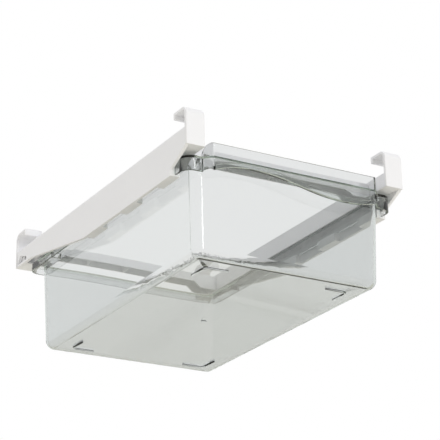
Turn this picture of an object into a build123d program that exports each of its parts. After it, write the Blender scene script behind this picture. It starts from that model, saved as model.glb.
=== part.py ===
"""Pull-out drawer organizer that hangs from two bars or from a shelf's edges.

Millimetres. X across the drawer, -Y towards the front, +Z up.
The pieces are drawn from the foot of the tub's front wall, with the tub's underside at Z = 0.
They are written with the hanging point as the origin: the middle of the four hooks, in the
plane of the undersides of their arms.
"""
from build123d import *
import os

os.makedirs("parts", exist_ok=True)

# ---------------------------------------------------------------- drawer tub
tub_width = 198.0            # outside width at the floor
tub_depth = 319.2            # outside depth at the floor
tub_draft = 0.031            # how far each wall leans out per mm of height
tub_corner = 10.0            # upright corner radius
tub_foot_radius = 9.0        # rounding between floor and walls
wall = 2.4

rim_top = 92.0
rim_thickness = 2.0
rim_side = 14.0              # from the foot of the tub's wall out to the rim's edge
rim_ahead = 8.0
rim_behind = 9.3
rim_corner = 11.5
skirt_drop = 7.0             # sides and back, from the rim's top
corner_skirt_drop = 14.2     # the deeper front corners
skirt_thickness = 2.0

# ---------------------------------------------------------------- drawer pull
pull_depth = 8.0             # ahead of the rim; its ends slant by as much
pull_rise = 12.3             # above the rim
pull_thickness = 2.0
pull_fold = 2.6              # outer radius of the folds at its slanted ends
pull_root_inset = 3.0        # from the foot of the tub's side wall in to the pull's end
pull_end_drop = 13.5         # the wavy lower edge, from the rim's top
pull_far_end_drop = 15.5
crest_x = -45.0
crest_drop = 6.4
trough_x = 55.0
trough_drop = 19.1
end_slope = 0.3
far_end_slope = 0.2
wave_stiffness = 0.42        # how long the wave's tangents are, as a share of each span
shoulder_start = 0.2         # how the shoulders round off, as shares of the pull's rise
shoulder_end = 0.45
bead_height = 4.4
bead_bulge = 1.0
bead_inset = 1.5

# ---------------------------------------------------------------- drawer underside
foot_inset = 21.5
foot_arm = 25.0
foot_width = 1.8
foot_height = 1.5
foot_corner = 6.0
gate_length = 6.0
gate_width = 3.5
gate_height = 0.5

rim_rib_from_rear = 54.9     # stiffening ribs between the tub and the side skirts
rim_rib_thickness = 1.5
corner_rib_from_pull = 1.7
corner_rib_drop = 5.5

# ---------------------------------------------------------------- rails
running_clearance = 1.0      # between the drawer's skirt and the rail's side wall
headroom = 4.4               # between the drawer's rim and the underside of the rail's beam
rail_width = 13.5
rail_height = 18.2
rail_ahead = 8.4             # of the drawer's rim
rail_behind = 20.3
rail_wall = 2.2
rail_web = 3.4               # outer side wall, which reaches down to the tabs
rail_edge_radius = 2.0

web_rake_top = 1.0           # where the raked front edge starts, below the beam
web_rake_bottom = 2.0        # where it ends, below the top of the tabs
web_rake_length = 27.4
skirt_clearance = 0.3        # between the web's front corner and the drawer's deeper corners
web_taper_gap = 4.0          # from the last tab to the start of the taper
web_taper_from_rear = 34.8

tab_lap = 3.5                # how far the tabs reach in past the skirt
tab_length = 31.0
tab_height = 8.7
tab_pitch = 72.0
tab_count = 3

# latch window: distance from the rail's rear end, height above the beam's underside
window = ((0.8, 2.6), (7.8, 10.6), (23.3, 5.8), (23.3, 2.4))

# ---------------------------------------------------------------- hooks
hook_proud = 0.1             # how far the hooks' sides stand out from the rails'
hook_width = 19.2
hook_thickness = 3.0
hook_rise = 19.8             # above the rail
hook_radius = 8.0
hook_reach = 23.0            # front to back
hook_tip = 7.0
hook_edge_radius = 1.0
sole_thickness = 2.0         # plate that runs back under the end of the rail
spigot_length = 12.0
spigot_clearance = 0.15

# ---------------------------------------------------------------- cross rails
cross_depth = 19.0
cross_top_drop = 2.6         # below the rail's top
cross_low_lift = 0.1         # above the rail's underside: the deep ends
cross_mid_lift = 6.6         # and the shallow middle
cross_end_length = 19.9
cross_step_length = 7.6
cross_wall = 2.0
cross_front_inset = 33.9     # from the rail's front end to the front cross rail
cross_rear_inset = 37.3
cross_rib_thickness = 1.6
cross_rib_pitch = 43.0
cross_rib_count = 3
tongue_reach = 4.0
tongue_width = 10.0
tongue_height = 7.0
tongue_lift = 8.1            # above the rail's underside
tongue_clearance = 0.15
slot_clearance = 0.5         # past the rail's inner wall

# ---------------------------------------------------------------- derived
# drawer
lean = tub_draft * rim_top
tub_middle_y = tub_depth / 2
rim_half_width = tub_width / 2 + rim_side
rim_front = -rim_ahead
rim_rear = tub_depth + rim_behind
rim_under = rim_top - rim_thickness
skirt_bottom = rim_top - skirt_drop
corner_skirt_bottom = rim_top - corner_skirt_drop
pull_front = rim_front - pull_depth
pull_top = rim_top + pull_rise
pull_root_half_width = tub_width / 2 - pull_root_inset
pull_half_width = pull_root_half_width - pull_depth
pull_end_bottom = rim_top - pull_end_drop
pull_far_end_bottom = rim_top - pull_far_end_drop
crest_z = rim_top - crest_drop
trough_z = rim_top - trough_drop
diagonal = 2 ** 0.5          # the pull's ends slant at 45 degrees
rim_rib_y = rim_rear - rim_rib_from_rear
corner_rib_x = pull_root_half_width + corner_rib_from_pull
corner_rib_bottom = rim_top - corner_rib_drop

# rails, set round the drawer
rail_outer = rim_half_width + running_clearance + rail_web
rail_inner = rail_outer - rail_width
rail_bottom = rim_top + headroom
rail_top = rail_bottom + rail_height
rail_front = rim_front - rail_ahead
rail_rear = rim_rear + rail_behind
rail_length = rail_rear - rail_front
frame_middle_y = (rail_front + rail_rear) / 2
tab_top = skirt_bottom       # the drawer's skirts ride on the tabs
tab_reach = rail_web + running_clearance + skirt_thickness + tab_lap
web_bottom = tab_top - tab_height
web_front_corner = (rail_front + web_rake_length, tab_top - web_rake_bottom)
tab_first = web_front_corner[0] + tab_length / 2
web_taper_start = tab_first + (tab_count - 1) * tab_pitch + tab_length / 2 + web_taper_gap
web_taper_end = rail_rear - web_taper_from_rear
corner_skirt_rear = web_front_corner[0] - skirt_clearance

# cross rails, set between the rails
cross_front_y = rail_front + cross_front_inset
cross_rear_y = rail_rear - cross_rear_inset
cross_top = rail_top - cross_top_drop
cross_low = rail_bottom + cross_low_lift
cross_mid = rail_bottom + cross_mid_lift
cross_step_outer = rail_inner - cross_end_length
cross_step_inner = cross_step_outer - cross_step_length
tongue_z = rail_bottom + tongue_lift

# hooks, set on the rails' ends
hook_outer = rail_outer + hook_proud
hook_top = rail_top + hook_rise
hook_front = rail_front - hook_thickness
arm_under = hook_top - hook_thickness
sole_top = rail_bottom + sole_thickness
front_sole_end = cross_front_y
rear_sole_end = cross_rear_y + cross_depth

from_hanging_point = Location((0, -frame_middle_y, -arm_under))


def tub_solid(inset, floor, foot_radius):
    """The tub's outer form, or its hollow when inset by the wall."""
    with BuildPart() as tub:
        with BuildSketch(Plane.XY.offset(floor)):
            with Locations((0, tub_middle_y)):
                RectangleRounded(
                    tub_width + 2 * (tub_draft * floor - inset),
                    tub_depth + 2 * (tub_draft * floor - inset),
                    tub_corner - inset,
                )
        with BuildSketch(Plane.XY.offset(rim_top)):
            with Locations((0, tub_middle_y)):
                RectangleRounded(
                    tub_width + 2 * (lean - inset),
                    tub_depth + 2 * (lean - inset),
                    tub_corner - inset,
                )
        loft(ruled=True)
        fillet(tub.faces().sort_by(Axis.Z)[0].edges(), foot_radius)
    return tub.part


def wave_edge(lift=0.0, inset=0.0):
    """The pull's wavy lower edge, left to right, raised by lift."""
    start = (-pull_half_width + inset, pull_end_bottom + lift)
    crest = (crest_x, crest_z + lift)
    trough = (trough_x, trough_z + lift)
    end = (pull_half_width - inset, pull_far_end_bottom + lift)
    knots = (start, crest, trough, end)
    slopes = (end_slope, 0.0, 0.0, far_end_slope)
    for (a, b), (slope_a, slope_b) in zip(zip(knots, knots[1:]), zip(slopes, slopes[1:])):
        handle = wave_stiffness * (b[0] - a[0])
        Bezier(
            a,
            (a[0] + handle, a[1] + slope_a * handle),
            (b[0] - handle, b[1] - slope_b * handle),
            b,
        )
    return start, end


# ================================================================ drawer
with BuildPart() as drawer:
    add(tub_solid(0.0, 0.0, tub_foot_radius))

    # flat rim around the tub, running forward over the pull
    with BuildSketch(Plane.XY.offset(rim_under)) as rim_plan:
        with Locations((0, (rim_front + rim_rear) / 2)):
            RectangleRounded(2 * rim_half_width, rim_rear - rim_front, rim_corner)
        with BuildLine():
            Polyline(
                (-pull_root_half_width, rim_front + wall),
                (-pull_root_half_width, rim_front),
                (-pull_half_width, pull_front),
                (pull_half_width, pull_front),
                (pull_root_half_width, rim_front),
                (pull_root_half_width, rim_front + wall),
                close=True,
            )
        make_face()
        fillet(rim_plan.vertices().group_by(Axis.Y)[0], pull_fold)
    extrude(amount=rim_thickness)

    # skirt turned down from the rim, left open behind the pull
    with BuildSketch(Plane.XY.offset(corner_skirt_bottom)):
        with Locations((0, (rim_front + rim_rear) / 2)):
            RectangleRounded(2 * rim_half_width, rim_rear - rim_front, rim_corner)
            RectangleRounded(
                2 * (rim_half_width - skirt_thickness),
                rim_rear - rim_front - 2 * skirt_thickness,
                rim_corner - skirt_thickness,
                mode=Mode.SUBTRACT,
            )
        with Locations((0, rim_front)):
            Rectangle(2 * (pull_root_half_width - skirt_thickness), 4 * skirt_thickness, mode=Mode.SUBTRACT)
    extrude(amount=rim_under - corner_skirt_bottom)
    with BuildSketch(Plane.XY.offset(corner_skirt_bottom)):
        with Locations((0, corner_skirt_rear)):
            Rectangle(3 * rim_half_width, 2 * rim_rear, align=(Align.CENTER, Align.MIN))
        with Locations((0, tub_middle_y)):
            RectangleRounded(
                tub_width + 2 * tub_draft * corner_skirt_bottom,
                tub_depth + 2 * tub_draft * corner_skirt_bottom,
                tub_corner,
                mode=Mode.SUBTRACT,
            )
    extrude(amount=skirt_bottom - corner_skirt_bottom, mode=Mode.SUBTRACT)

    # ribs that tie the skirt to the tub
    for side in (-1, 1):
        with Locations((side * (tub_width / 2 + rim_half_width) / 2, rim_rib_y, skirt_bottom)):
            Box(
                rim_half_width - tub_width / 2 - skirt_thickness,
                rim_rib_thickness,
                rim_under - skirt_bottom,
                align=(Align.CENTER, Align.CENTER, Align.MIN),
            )
        with Locations((side * corner_rib_x, rim_front + skirt_thickness / 2, corner_rib_bottom)):
            Box(
                rim_rib_thickness,
                -rim_front,
                rim_under - corner_rib_bottom,
                align=(Align.CENTER, Align.MIN, Align.MIN),
            )

    # hollow of the tub
    add(tub_solid(wall, wall, tub_foot_radius - wall), mode=Mode.SUBTRACT)

    # L-shaped ribs to stand on, and the moulding's gate mark
    with BuildSketch(Plane.XY):
        with Locations((0, tub_middle_y)):
            ring_x = tub_width - 2 * foot_inset
            ring_y = tub_depth - 2 * foot_inset
            RectangleRounded(ring_x, ring_y, foot_corner)
            RectangleRounded(
                ring_x - 2 * foot_width,
                ring_y - 2 * foot_width,
                foot_corner - foot_width,
                mode=Mode.SUBTRACT,
            )
            Rectangle(ring_x - 2 * foot_arm, 2 * ring_y, mode=Mode.SUBTRACT)
            Rectangle(2 * ring_x, ring_y - 2 * foot_arm, mode=Mode.SUBTRACT)
    extrude(amount=-foot_height)
    with BuildSketch(Plane.XY):
        with Locations((0, tub_middle_y)):
            Ellipse(gate_length / 2, gate_width / 2)
    extrude(amount=-gate_height)

with BuildPart() as pull:
    # upright wall in plan, with slanted ends that run back to the skirt
    with BuildSketch(Plane.XY) as plan:
        with BuildLine():
            Polyline(
                (-pull_root_half_width, rim_front),
                (-pull_half_width, pull_front),
                (pull_half_width, pull_front),
                (pull_root_half_width, rim_front),
                (pull_root_half_width - diagonal * pull_thickness, rim_front),
                (pull_half_width - (diagonal - 1) * pull_thickness, pull_front + pull_thickness),
                (-pull_half_width + (diagonal - 1) * pull_thickness, pull_front + pull_thickness),
                (-pull_root_half_width + diagonal * pull_thickness, rim_front),
                close=True,
            )
        make_face()
        fillet(plan.vertices().group_by(Axis.Y)[1], pull_fold - pull_thickness)
        fillet(plan.vertices().group_by(Axis.Y)[0], pull_fold)
    extrude(amount=pull_top)

    # front outline: flat top, rounded shoulders and the wavy lower edge
    with BuildSketch(Plane.XZ):
        with BuildLine():
            start, end = wave_edge(lift=bead_height / 2)
            Line(end, (pull_root_half_width, corner_skirt_bottom))
            Line((pull_root_half_width, corner_skirt_bottom), (pull_root_half_width, rim_top))
            Bezier(
                (pull_root_half_width, rim_top),
                (pull_root_half_width - shoulder_start * pull_rise, pull_top),
                (pull_root_half_width - shoulder_end * pull_rise, pull_top),
                (pull_half_width, pull_top),
            )
            Line((pull_half_width, pull_top), (-pull_half_width, pull_top))
            Bezier(
                (-pull_half_width, pull_top),
                (-pull_root_half_width + shoulder_end * pull_rise, pull_top),
                (-pull_root_half_width + shoulder_start * pull_rise, pull_top),
                (-pull_root_half_width, rim_top),
            )
            Line((-pull_root_half_width, rim_top), (-pull_root_half_width, corner_skirt_bottom))
            Line((-pull_root_half_width, corner_skirt_bottom), start)
        make_face()
    extrude(amount=-2 * pull_front, mode=Mode.INTERSECT)

    # bead along the wavy edge
    with BuildSketch(Plane.XZ.offset(-pull_front + bead_bulge)):
        with BuildLine():
            low_start, low_end = wave_edge(inset=bead_inset)
            high_start, high_end = wave_edge(lift=bead_height, inset=bead_inset)
            Line(low_start, high_start)
            Line(low_end, high_end)
        make_face()
    extrude(amount=-(pull_thickness + 2 * bead_bulge))

with drawer:
    add(pull.part)

drawer.part.label = "drawer"
drawer.part.locate(from_hanging_point)
export_step(drawer.part, "parts/drawer.step")


# ================================================================ rails
with BuildPart() as rail_right:
    # beam: a channel that is open below
    with BuildSketch(Plane.XZ.offset(-rail_front)):
        with BuildLine():
            Polyline(
                (rail_inner, rail_bottom),
                (rail_inner, rail_top),
                (rail_outer, rail_top),
                (rail_outer, rail_bottom),
                (rail_outer - rail_web, rail_bottom),
                (rail_outer - rail_web, rail_top - rail_wall),
                (rail_inner + rail_wall, rail_top - rail_wall),
                (rail_inner + rail_wall, rail_bottom),
                close=True,
            )
        make_face()
    extrude(amount=-rail_length)

    # outer side wall below the beam, raked at the front and tapering up to the back
    with BuildSketch(Plane.YZ.offset(rail_outer)):
        with BuildLine():
            Polyline(
                (rail_front, rail_top - rail_wall),
                (rail_front, rail_bottom - web_rake_top),
                web_front_corner,
                (web_front_corner[0], web_bottom),
                (web_taper_start, web_bottom),
                (web_taper_end, rail_bottom),
                (web_taper_end, rail_top - rail_wall),
                close=True,
            )
        make_face()
    extrude(amount=-rail_web)

    # tabs that carry the drawer's skirt
    for index in range(tab_count):
        with Locations((rail_outer, tab_first + index * tab_pitch, web_bottom)):
            Box(
                tab_reach,
                tab_length,
                tab_top - web_bottom,
                align=(Align.MAX, Align.CENTER, Align.MIN),
            )

    # inner wall cut short at both ends, over the hooks' soles
    for near, far in ((rail_front, front_sole_end), (rear_sole_end, rail_rear)):
        with Locations((rail_inner, near, rail_bottom)):
            Box(
                rail_outer - rail_web - rail_inner,
                far - near,
                sole_thickness,
                align=(Align.MIN, Align.MIN, Align.MIN),
                mode=Mode.SUBTRACT,
            )

    # slots for the cross rails' tongues
    for cross_y in (cross_front_y, cross_rear_y):
        with Locations((rail_inner, cross_y + cross_depth / 2, tongue_z)):
            Box(
                2 * (rail_wall + slot_clearance),
                tongue_width + 2 * tongue_clearance,
                tongue_height + 2 * tongue_clearance,
                mode=Mode.SUBTRACT,
            )

    # latch window near the back end
    with BuildSketch(Plane.YZ.offset(rail_outer)):
        with BuildLine():
            Polyline(*((rail_rear - back, rail_bottom + lift) for back, lift in window), close=True)
        make_face()
    extrude(amount=-rail_web, mode=Mode.SUBTRACT)

    top_edges = rail_right.edges().filter_by(Axis.Y).group_by(Axis.Z)[-1]
    fillet(top_edges.sort_by(Axis.X)[-1], rail_edge_radius)

with BuildPart() as rail_left:
    mirror(rail_right.part, about=Plane.YZ)

for name, rail in (("rail_right", rail_right), ("rail_left", rail_left)):
    rail.part.label = name
    rail.part.locate(from_hanging_point)
    export_step(rail.part, f"parts/{name}.step")


# ================================================================ hooks
def hook_on_right(sole_length):
    """A hook for the right rail's front end, with a sole of the length given."""
    arm_end = hook_front + hook_reach
    inner_radius = hook_radius - hook_thickness
    with BuildPart() as hook:
        # plate, arm over the bar and turned-down tip, seen from the side
        with BuildSketch(Plane.YZ.offset(hook_outer)):
            with BuildLine():
                Line((rail_front, rail_bottom), (hook_front, rail_bottom))
                Line((hook_front, rail_bottom), (hook_front, hook_top - hook_radius))
                RadiusArc(
                    (hook_front, hook_top - hook_radius),
                    (hook_front + hook_radius, hook_top),
                    hook_radius,
                )
                Line((hook_front + hook_radius, hook_top), (arm_end, hook_top))
                Line((arm_end, hook_top), (arm_end, hook_top - hook_tip))
                Line((arm_end, hook_top - hook_tip), (arm_end - hook_thickness, hook_top - hook_tip))
                Line((arm_end - hook_thickness, hook_top - hook_tip), (arm_end - hook_thickness, arm_under))
                Line((arm_end - hook_thickness, arm_under), (rail_front + inner_radius, arm_under))
                RadiusArc(
                    (rail_front + inner_radius, arm_under),
                    (rail_front, arm_under - inner_radius),
                    -inner_radius,
                )
                Line((rail_front, arm_under - inner_radius), (rail_front, rail_bottom))
            make_face()
        extrude(amount=-hook_width)
        side_edges = hook.edges().filter_by(lambda edge: edge.center().Y < rail_front - hook_thickness / 2)
        fillet(side_edges.filter_by(Axis.Z), hook_edge_radius)

        # sole under the end of the rail
        with Locations((hook_outer - hook_width, rail_front, rail_bottom)):
            Box(
                hook_width - (hook_outer - rail_outer) - rail_web,
                sole_length,
                sole_thickness,
                align=(Align.MIN, Align.MIN, Align.MIN),
            )

        # spigot in the end of the rail's channel
        channel_inner = rail_inner + rail_wall + spigot_clearance
        channel_outer = rail_outer - rail_web - spigot_clearance
        with Locations((channel_inner, rail_front, sole_top)):
            Box(
                channel_outer - channel_inner,
                spigot_length,
                rail_top - rail_wall - spigot_clearance - sole_top,
                align=(Align.MIN, Align.MIN, Align.MIN),
            )
    return hook


hook_front_right = hook_on_right(front_sole_end - rail_front)
hook_rear_template = hook_on_right(rail_rear - rear_sole_end)

with BuildPart() as hook_front_left:
    mirror(hook_front_right.part, about=Plane.YZ)

with BuildPart() as hook_rear_right:
    mirror(hook_rear_template.part, about=Plane.XZ.offset(-frame_middle_y))

with BuildPart() as hook_rear_left:
    mirror(hook_rear_right.part, about=Plane.YZ)

for name, hook in (
    ("hook_front_left", hook_front_left),
    ("hook_front_right", hook_front_right),
    ("hook_rear_left", hook_rear_left),
    ("hook_rear_right", hook_rear_right),
):
    hook.part.label = name
    hook.part.locate(from_hanging_point)
    export_step(hook.part, f"parts/{name}.step")


# ================================================================ cross rails
def cross_rail(front_y):
    """A channel, open below, between the two rails: deep at its ends and shallower between them."""
    with BuildPart() as cross:
        with BuildSketch(Plane.XZ.offset(-front_y)):
            with BuildLine():
                Polyline(
                    (-rail_inner, cross_top),
                    (rail_inner, cross_top),
                    (rail_inner, cross_low),
                    (cross_step_outer, cross_low),
                    (cross_step_inner, cross_mid),
                    (-cross_step_inner, cross_mid),
                    (-cross_step_outer, cross_low),
                    (-rail_inner, cross_low),
                    close=True,
                )
            make_face()
        extrude(amount=-cross_depth)

        # hollow from below
        with Locations((0, front_y + cross_depth / 2, cross_top - cross_wall)):
            Box(
                2 * (rail_inner - cross_wall),
                cross_depth - 2 * cross_wall,
                rail_height,
                align=(Align.CENTER, Align.CENTER, Align.MAX),
                mode=Mode.SUBTRACT,
            )

        # cross ribs inside the channel, no deeper than its middle
        with Locations((0, front_y + cross_depth / 2, cross_mid)):
            with GridLocations(cross_rib_pitch, 1, cross_rib_count, 1):
                Box(
                    cross_rib_thickness,
                    cross_depth - cross_wall,
                    cross_top - cross_mid - cross_wall / 2,
                    align=(Align.CENTER, Align.CENTER, Align.MIN),
                )

        # tongues into the rails
        for side in (-1, 1):
            with Locations((side * rail_inner, front_y + cross_depth / 2, tongue_z)):
                Box(
                    2 * tongue_reach,
                    tongue_width,
                    tongue_height,
                )
    return cross


crossbar_front = cross_rail(cross_front_y)
crossbar_rear = cross_rail(cross_rear_y)
for name, cross in (("crossbar_front", crossbar_front), ("crossbar_rear", crossbar_rear)):
    cross.part.label = name
    cross.part.locate(from_hanging_point)
    export_step(cross.part, f"parts/{name}.step")
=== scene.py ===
"""A clear drawer that slides in a white hanging frame, with its stage.

Laid out as an add-on, and run as a script.
Every length is in metres unless its name says otherwise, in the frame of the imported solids.
"""
import math

import bmesh
import bpy
from bpy.props import FloatProperty, FloatVectorProperty, IntProperty, PointerProperty
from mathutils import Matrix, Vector


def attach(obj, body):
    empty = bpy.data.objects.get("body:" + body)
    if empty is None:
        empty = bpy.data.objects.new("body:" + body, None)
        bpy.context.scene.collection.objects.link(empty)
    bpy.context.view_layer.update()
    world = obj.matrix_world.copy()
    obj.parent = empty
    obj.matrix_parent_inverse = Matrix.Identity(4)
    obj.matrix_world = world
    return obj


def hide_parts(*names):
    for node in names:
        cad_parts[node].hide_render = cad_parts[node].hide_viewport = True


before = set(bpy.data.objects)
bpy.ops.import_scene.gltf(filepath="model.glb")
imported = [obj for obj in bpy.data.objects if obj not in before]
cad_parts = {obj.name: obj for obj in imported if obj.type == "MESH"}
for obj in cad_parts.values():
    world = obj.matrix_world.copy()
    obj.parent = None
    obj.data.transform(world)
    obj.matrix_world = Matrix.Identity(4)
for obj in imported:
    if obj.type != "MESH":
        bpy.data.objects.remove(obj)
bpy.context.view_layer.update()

bl_info = {
    "name": "Hanging Drawer",
    "version": (1, 0, 0),
    "blender": (4, 5, 0),
    "location": "View3D > Sidebar > Drawer",
    "description": "A clear pull-out drawer in a white frame that hangs from four hooks",
    "category": "Add Mesh",
}

MILLIMETRE = 0.001

RAIL_NODES = ("rail_left", "rail_right")
CROSS_RAIL_NODES = ("crossbar_front", "crossbar_rear")
HOOK_NODES = ("hook_front_left", "hook_front_right", "hook_rear_left", "hook_rear_right")

# The eye is below the drawer, in front of it and to its left.
CAMERA_PLACE = (-0.81263, -1.42254, -0.66100)
CAMERA_TURN_DEGREES = (111.267, 1.0636, -30.067)
CAMERA_LENS_MM = 143.231
CAMERA_SENSOR_MM = 36.0

CAMERA_REACH = (0.05, 60.0)

# Corners nearer than this become one, and so do faces that turn by less than this.
MERGE_DISTANCE = 0.002 * MILLIMETRE
MERGE_DEGREES = 0.4

# Edges that turn by more than this are sharp. Faces larger than these are flat, and they
# count for this much more than small ones in the shading of a corner that they share.
SHARP_DEGREES = 36.0
DRAWER_FLAT_AREA = 400.0 * MILLIMETRE**2
FRAME_FLAT_AREA = 150.0 * MILLIMETRE**2
FLAT_WEIGHT = 1000.0

# How many times a metre the flow marks and the white plastic's skin repeat, and the
# strength and depth of their reliefs. A noise's values lie mostly in the range given.
CLEAR_FLOW_SCALE = 9.0
WHITE_FLOW_SCALE = 14.0
SKIN_SCALE = 2600.0
FLOW_RELIEF = (0.02, 0.5 * MILLIMETRE)
SKIN_RELIEF = (0.12, 0.05 * MILLIMETRE)
NOISE_RANGE = (0.3, 0.7)
WHITE_REFRACTION = 1.48

FLOOR_HEIGHT = -0.95
FLOOR_SIZE = 14.0
FLOOR_ROUGHNESS = 0.9

# The ceiling darkens between these upward parts of a unit direction.
CEILING_RANGE = (0.62, 0.72)

LAMP_TARGET = (0.0, 0.0, -0.06)
KEY_PLACE = (0.45, -2.6, 0.9)
KEY_SIZE = (0.45, 2.0)
TOP_PLACE = (-0.5, 0.4, 2.4)
TOP_SIZE = (2.4, 2.4)


# ---------------------------------------------------------------- settings
class ClearPlasticSettings(bpy.types.PropertyGroup):
    """The drawer's clear plastic."""

    tint: FloatVectorProperty(
        name="Tint",
        description="What one wall lets through",
        subtype="COLOR",
        size=3,
        min=0.0,
        max=1.0,
        default=(0.868, 0.860, 0.872),
    )
    cloud: FloatVectorProperty(
        name="Cloud",
        description="What a wall lets through where the moulding is slightly denser",
        subtype="COLOR",
        size=3,
        min=0.0,
        max=1.0,
        default=(0.848, 0.842, 0.858),
    )
    film: FloatVectorProperty(
        name="Film",
        description="What one face lets through of the lamps' light",
        subtype="COLOR",
        size=3,
        min=0.0,
        max=1.0,
        default=(0.985, 0.985, 0.980),
    )
    depth_tint: FloatVectorProperty(
        name="Depth tint",
        description="Colour that builds up along the rim and the wall's edges",
        subtype="COLOR",
        size=3,
        min=0.0,
        max=1.0,
        default=(0.45, 0.58, 0.49),
    )
    depth_density: FloatProperty(
        name="Depth density",
        description="How fast the depth tint builds up, per metre",
        default=80.0,
        min=0.0,
    )
    roughness: FloatProperty(
        name="Roughness",
        description="How much the polished walls blur what is behind them",
        default=0.0,
        min=0.0,
        max=1.0,
    )
    refraction: FloatProperty(
        name="Index of refraction",
        description="Bending of light in clear polystyrene",
        default=1.5,
        min=1.0,
        max=2.0,
    )


class WhitePlasticSettings(bpy.types.PropertyGroup):
    """The frame's white plastic."""

    colour: FloatVectorProperty(
        name="Colour",
        description="The moulded colour",
        subtype="COLOR",
        size=3,
        min=0.0,
        max=1.0,
        default=(0.90, 0.90, 0.925),
    )
    shade: FloatVectorProperty(
        name="Shade",
        description="The moulded colour where the flow marks are",
        subtype="COLOR",
        size=3,
        min=0.0,
        max=1.0,
        default=(0.875, 0.875, 0.90),
    )
    smooth: FloatProperty(
        name="Smoothest",
        description="Roughness of the most polished places",
        default=0.36,
        min=0.0,
        max=1.0,
    )
    dull: FloatProperty(
        name="Dullest",
        description="Roughness of the dullest places",
        default=0.48,
        min=0.0,
        max=1.0,
    )


class MouldingSettings(bpy.types.PropertyGroup):
    """How the moulded pieces are finished."""

    frame_edge: FloatProperty(
        name="Frame edge",
        description="Rounding of the white pieces' edges",
        subtype="DISTANCE",
        unit="LENGTH",
        default=0.45 * MILLIMETRE,
        min=0.0,
    )
    drawer_edge: FloatProperty(
        name="Drawer edge",
        description="Rounding of the clear drawer's edges",
        subtype="DISTANCE",
        unit="LENGTH",
        default=0.3 * MILLIMETRE,
        min=0.0,
    )
    steps: IntProperty(
        name="Steps",
        description="Segments in each rounded edge",
        default=2,
        min=1,
        max=6,
    )


class StageSettings(bpy.types.PropertyGroup):
    """Floor, backdrop and lamps."""

    floor_colour: FloatVectorProperty(
        name="Floor",
        description="The floor's colour",
        subtype="COLOR",
        size=3,
        min=0.0,
        max=1.0,
        default=(0.88, 0.855, 0.76),
    )
    sky: FloatProperty(
        name="Sky",
        description="Strength of the light from all round",
        default=0.72,
        min=0.0,
    )
    ceiling: FloatVectorProperty(
        name="Ceiling",
        description="What reflections and the clear plastic pick up from high overhead",
        subtype="COLOR",
        size=3,
        min=0.0,
        max=1.0,
        default=(0.17, 0.165, 0.12),
    )
    key: FloatProperty(
        name="Key lamp",
        description="Power of the tall lamp in front",
        subtype="POWER",
        unit="POWER",
        default=19.0,
        min=0.0,
    )
    top: FloatProperty(
        name="Top lamp",
        description="Power of the large lamp above",
        subtype="POWER",
        unit="POWER",
        default=20.0,
        min=0.0,
    )


# ---------------------------------------------------------------- materials
def new_material(name):
    """An empty node material with its output."""
    material = bpy.data.materials.new(name)
    material.use_nodes = True
    nodes = material.node_tree.nodes
    nodes.clear()
    output = nodes.new("ShaderNodeOutputMaterial")
    return material, nodes, material.node_tree.links, output


def add_noise(nodes, links, place, scale, detail):
    """Fine unevenness, fixed to the piece."""
    noise = nodes.new("ShaderNodeTexNoise")
    noise.inputs["Scale"].default_value = scale
    noise.inputs["Detail"].default_value = detail
    links.new(place, noise.inputs["Vector"])
    return noise.outputs["Fac"]


def add_colour_mix(nodes, links, factor, first, second):
    """A colour between first and second."""
    mix = nodes.new("ShaderNodeMix")
    mix.data_type = "RGBA"
    mix.inputs["A"].default_value = (*first, 1.0)
    mix.inputs["B"].default_value = (*second, 1.0)
    links.new(factor, mix.inputs["Factor"])
    return mix.outputs["Result"]


def add_range(nodes, links, value, source, low, high):
    """A number that goes from low to high while the value crosses the source range."""
    remap = nodes.new("ShaderNodeMapRange")
    remap.inputs["From Min"].default_value, remap.inputs["From Max"].default_value = source
    remap.inputs["To Min"].default_value = low
    remap.inputs["To Max"].default_value = high
    links.new(value, remap.inputs["Value"])
    return remap.outputs["Result"]


def add_math(nodes, links, operation, first, second):
    """The outcome of an operation on two numbers."""
    maths = nodes.new("ShaderNodeMath")
    maths.operation = operation
    links.new(first, maths.inputs[0])
    links.new(second, maths.inputs[1])
    return maths.outputs["Value"]


def add_blend(nodes, links, factor, first, second):
    """One shader in place of another, by a factor."""
    blend = nodes.new("ShaderNodeMixShader")
    links.new(factor, blend.inputs["Fac"])
    links.new(first, blend.inputs[1])
    links.new(second, blend.inputs[2])
    return blend.outputs["Shader"]


def add_bump(nodes, links, height, relief):
    """A shallow relief of some strength and depth."""
    bump = nodes.new("ShaderNodeBump")
    bump.inputs["Strength"].default_value, bump.inputs["Distance"].default_value = relief
    links.new(height, bump.inputs["Height"])
    return bump.outputs["Normal"]


def clear_plastic(settings):
    """Polished clear plastic, with faint flow lines and a green-grey tint in its depth."""
    material, nodes, links, output = new_material("drawer_plastic")
    shader = nodes.new("ShaderNodeBsdfPrincipled")
    place = nodes.new("ShaderNodeTexCoord").outputs["Object"]
    flow = add_noise(nodes, links, place, CLEAR_FLOW_SCALE, 2.0)
    colour = add_colour_mix(nodes, links, flow, settings.tint, settings.cloud)
    links.new(colour, shader.inputs["Base Color"])
    links.new(add_bump(nodes, links, flow, FLOW_RELIEF), shader.inputs["Normal"])
    shader.inputs["Roughness"].default_value = settings.roughness
    shader.inputs["IOR"].default_value = settings.refraction
    shader.inputs["Transmission Weight"].default_value = 1.0
    # lamps shine through onto what is behind the walls
    film = nodes.new("ShaderNodeBsdfTransparent")
    film.inputs["Color"].default_value = (*settings.film, 1.0)
    lit = nodes.new("ShaderNodeLightPath").outputs["Is Shadow Ray"]
    surface = add_blend(nodes, links, lit, shader.outputs["BSDF"], film.outputs["BSDF"])
    links.new(surface, output.inputs["Surface"])
    depth = nodes.new("ShaderNodeVolumeAbsorption")
    depth.inputs["Color"].default_value = (*settings.depth_tint, 1.0)
    depth.inputs["Density"].default_value = settings.depth_density
    links.new(depth.outputs["Volume"], output.inputs["Volume"])
    return material


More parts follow.
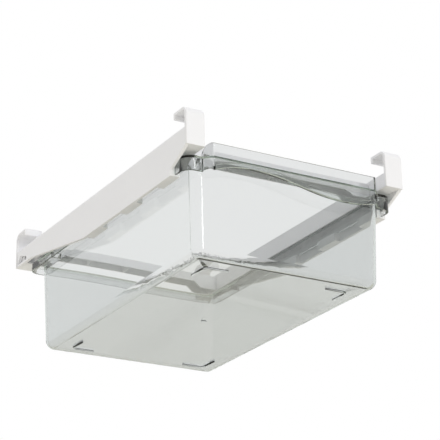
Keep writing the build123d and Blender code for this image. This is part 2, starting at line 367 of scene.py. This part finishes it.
def white_plastic(settings):
    """Satin white plastic with faint flow marks and a fine spark-eroded skin."""
    material, nodes, links, output = new_material("frame_plastic")
    shader = nodes.new("ShaderNodeBsdfPrincipled")
    place = nodes.new("ShaderNodeTexCoord").outputs["Object"]
    flow = add_noise(nodes, links, place, WHITE_FLOW_SCALE, 3.0)
    skin = add_noise(nodes, links, place, SKIN_SCALE, 2.0)
    colour = add_colour_mix(nodes, links, flow, settings.colour, settings.shade)
    links.new(colour, shader.inputs["Base Color"])
    roughness = add_range(nodes, links, flow, NOISE_RANGE, settings.smooth, settings.dull)
    links.new(roughness, shader.inputs["Roughness"])
    links.new(add_bump(nodes, links, skin, SKIN_RELIEF), shader.inputs["Normal"])
    shader.inputs["IOR"].default_value = WHITE_REFRACTION
    links.new(shader.outputs["BSDF"], output.inputs["Surface"])
    return material


def shared_material(name, make, settings):
    """The material of that name, made the first time it is asked for."""
    return bpy.data.materials.get(name) or make(settings)


# ---------------------------------------------------------------- pieces
def settle_normals(data, sharp, flat_area):
    """Flat faces stay flat up to their edges, and rounded ones blend by the angle of their corners."""
    least = math.cos(sharp)
    round_each = [[] for _ in data.vertices]
    for polygon in data.polygons:
        corners = [data.vertices[v].co for v in polygon.vertices]
        for at, vertex in enumerate(polygon.vertices):
            before = corners[at - 1] - corners[at]
            after = corners[(at + 1) % len(corners)] - corners[at]
            weight = before.angle(after, 0.0) * (FLAT_WEIGHT if polygon.area > flat_area else 1.0)
            round_each[vertex].append((polygon.normal.copy(), weight))
    normals = []
    for polygon in data.polygons:
        for vertex in polygon.vertices:
            blend = Vector()
            for normal, weight in round_each[vertex]:
                if normal.dot(polygon.normal) > least:
                    blend += weight * normal
            normals.append(blend.normalized() if blend.length else polygon.normal)
    data.normals_split_custom_set(normals)


def moulded_piece(node, name, edge, steps, flat_area, material):
    """A node's solid with softened edges and smooth shading, in place of the node."""
    mesh = bmesh.new()
    mesh.from_mesh(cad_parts[node].data)
    bmesh.ops.remove_doubles(mesh, verts=mesh.verts, dist=MERGE_DISTANCE)
    bmesh.ops.dissolve_limit(
        mesh,
        angle_limit=math.radians(MERGE_DEGREES),
        verts=mesh.verts,
        edges=mesh.edges,
        use_dissolve_boundaries=False,
    )
    corners = [
        e for e in mesh.edges
        if len(e.link_faces) == 2 and e.calc_face_angle(0.0) > math.radians(SHARP_DEGREES)
    ]
    bmesh.ops.bevel(
        mesh,
        geom=corners,
        offset=edge,
        offset_type="OFFSET",
        affect="EDGES",
        segments=steps,
        profile=0.5,
        material=-1,
        clamp_overlap=True,
    )
    data = bpy.data.meshes.new(name)
    mesh.to_mesh(data)
    mesh.free()
    for polygon in data.polygons:
        polygon.use_smooth = True
    settle_normals(data, math.radians(SHARP_DEGREES), flat_area)
    data.materials.append(material)
    piece = bpy.data.objects.new(name, data)
    bpy.context.scene.collection.objects.link(piece)
    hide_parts(node)
    return piece


class HANGER_OT_drawer(bpy.types.Operator):
    """Make the clear drawer"""

    bl_idname = "hanger.drawer"
    bl_label = "Drawer"

    def execute(self, context):
        scene = context.scene
        material = shared_material("drawer_plastic", clear_plastic, scene.hanger_clear)
        finish = scene.hanger_moulding
        piece = moulded_piece(
            "drawer", "clear_drawer", finish.drawer_edge, finish.steps, DRAWER_FLAT_AREA, material
        )
        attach(piece, "drawer")
        return {"FINISHED"}


class WhitePieces:
    """What the operators of the white pieces share."""

    nodes = ()

    def execute(self, context):
        scene = context.scene
        material = shared_material("frame_plastic", white_plastic, scene.hanger_white)
        finish = scene.hanger_moulding
        for node in self.nodes:
            piece = moulded_piece(
                node, "white_" + node, finish.frame_edge, finish.steps, FRAME_FLAT_AREA, material
            )
            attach(piece, "frame")
        return {"FINISHED"}


class HANGER_OT_rails(WhitePieces, bpy.types.Operator):
    """Make the two rails that the drawer slides in"""

    bl_idname = "hanger.rails"
    bl_label = "Rails"
    nodes = RAIL_NODES


class HANGER_OT_cross_rails(WhitePieces, bpy.types.Operator):
    """Make the two rails that run across the drawer"""

    bl_idname = "hanger.cross_rails"
    bl_label = "Cross rails"
    nodes = CROSS_RAIL_NODES


class HANGER_OT_hooks(WhitePieces, bpy.types.Operator):
    """Make the four hooks"""

    bl_idname = "hanger.hooks"
    bl_label = "Hooks"
    nodes = HOOK_NODES


# ---------------------------------------------------------------- stage
def add_floor(settings):
    """A plain pale floor below the hanging drawer."""
    mesh = bmesh.new()
    bmesh.ops.create_grid(mesh, x_segments=1, y_segments=1, size=FLOOR_SIZE / 2)
    bmesh.ops.translate(mesh, verts=mesh.verts, vec=Vector((0.0, 0.0, FLOOR_HEIGHT)))
    data = bpy.data.meshes.new("floor")
    mesh.to_mesh(data)
    mesh.free()
    material, nodes, links, output = new_material("floor_paint")
    shader = nodes.new("ShaderNodeBsdfPrincipled")
    shader.inputs["Base Color"].default_value = (*settings.floor_colour, 1.0)
    shader.inputs["Roughness"].default_value = FLOOR_ROUGHNESS
    links.new(shader.outputs["BSDF"], output.inputs["Surface"])
    data.materials.append(material)
    floor = bpy.data.objects.new("floor", data)
    bpy.context.scene.collection.objects.link(floor)


def add_backdrop(nodes, colour, strength):
    """Light of one colour from all round."""
    backdrop = nodes.new("ShaderNodeBackground")
    backdrop.inputs["Color"].default_value = (*colour, 1.0)
    backdrop.inputs["Strength"].default_value = strength
    return backdrop.outputs["Background"]


def add_sky(settings):
    """Even light from all round. The eye, reflections and the clear plastic see it as white,
    and the last two see a dark ceiling high overhead."""
    world = bpy.data.worlds.new("studio")
    bpy.context.scene.world = world
    world.use_nodes = True
    nodes, links = world.node_tree.nodes, world.node_tree.links
    nodes.clear()
    output = nodes.new("ShaderNodeOutputWorld")
    paths = nodes.new("ShaderNodeLightPath").outputs
    light = add_backdrop(nodes, (1.0, 1.0, 1.0), settings.sky)
    white = add_backdrop(nodes, (1.0, 1.0, 1.0), 1.0)
    dark = add_backdrop(nodes, settings.ceiling, 1.0)
    eye = paths["Is Camera Ray"]
    seen = add_math(nodes, links, "MAXIMUM", eye, paths["Is Glossy Ray"])
    seen = add_math(nodes, links, "MAXIMUM", seen, paths["Is Transmission Ray"])
    height = nodes.new("ShaderNodeSeparateXYZ")
    links.new(nodes.new("ShaderNodeTexCoord").outputs["Generated"], height.inputs["Vector"])
    overhead = add_range(nodes, links, height.outputs["Z"], CEILING_RANGE, 0.0, 1.0)
    not_by_eye = add_math(nodes, links, "SUBTRACT", seen, eye)
    ceiling = add_math(nodes, links, "MULTIPLY", not_by_eye, overhead)
    sky = add_blend(nodes, links, seen, light, white)
    links.new(add_blend(nodes, links, ceiling, sky, dark), output.inputs["Surface"])


def add_lamp(name, place, size, power):
    """A soft lamp that faces the drawer."""
    data = bpy.data.lights.new(name, "AREA")
    data.shape = "RECTANGLE"
    data.size, data.size_y = size
    data.energy = power
    lamp = bpy.data.objects.new(name, data)
    lamp.location = place
    lamp.rotation_euler = (Vector(LAMP_TARGET) - Vector(place)).to_track_quat("-Z", "Y").to_euler()
    bpy.context.scene.collection.objects.link(lamp)


def add_camera():
    """The eye, at the photograph's place."""
    data = bpy.data.cameras.new("eye")
    data.sensor_width = CAMERA_SENSOR_MM
    data.lens = CAMERA_LENS_MM
    data.clip_start, data.clip_end = CAMERA_REACH
    camera = bpy.data.objects.new("eye", data)
    camera.location = CAMERA_PLACE
    camera.rotation_euler = [math.radians(turn) for turn in CAMERA_TURN_DEGREES]
    bpy.context.scene.collection.objects.link(camera)
    bpy.context.scene.camera = camera


class HANGER_OT_stage(bpy.types.Operator):
    """Make the floor, the sky, the lamps and the camera"""

    bl_idname = "hanger.stage"
    bl_label = "Stage"

    def execute(self, context):
        settings = context.scene.hanger_stage
        context.scene.view_settings.view_transform = "Standard"
        add_floor(settings)
        add_sky(settings)
        add_lamp("key_lamp", KEY_PLACE, KEY_SIZE, settings.key)
        add_lamp("top_lamp", TOP_PLACE, TOP_SIZE, settings.top)
        add_camera()
        return {"FINISHED"}


class HANGER_PT_panel(bpy.types.Panel):
    """The drawer's settings and its pieces"""

    bl_label = "Hanging drawer"
    bl_idname = "HANGER_PT_panel"
    bl_space_type = "VIEW_3D"
    bl_region_type = "UI"
    bl_category = "Drawer"

    def draw(self, context):
        column = self.layout.column()
        for group in GROUPS:
            settings = getattr(context.scene, group)
            for key in settings.__annotations__:
                column.prop(settings, key)
        for step in STEPS:
            column.operator(step.bl_idname)


GROUPS = {
    "hanger_clear": ClearPlasticSettings,
    "hanger_white": WhitePlasticSettings,
    "hanger_moulding": MouldingSettings,
    "hanger_stage": StageSettings,
}
STEPS = (HANGER_OT_drawer, HANGER_OT_rails, HANGER_OT_cross_rails, HANGER_OT_hooks, HANGER_OT_stage)
CLASSES = (*GROUPS.values(), *STEPS, HANGER_PT_panel)


def register():
    """Add the classes and the scene's settings."""
    for cls in CLASSES:
        bpy.utils.register_class(cls)
    for group, cls in GROUPS.items():
        setattr(bpy.types.Scene, group, PointerProperty(type=cls))


def unregister():
    """Take them away again."""
    for group in GROUPS:
        delattr(bpy.types.Scene, group)
    for cls in reversed(CLASSES):
        bpy.utils.unregister_class(cls)


def main():
    """Make every piece and the stage."""
    register()
    bpy.ops.hanger.drawer()
    bpy.ops.hanger.rails()
    bpy.ops.hanger.cross_rails()
    bpy.ops.hanger.hooks()
    bpy.ops.hanger.stage()


if __name__ == "__main__":
    main()
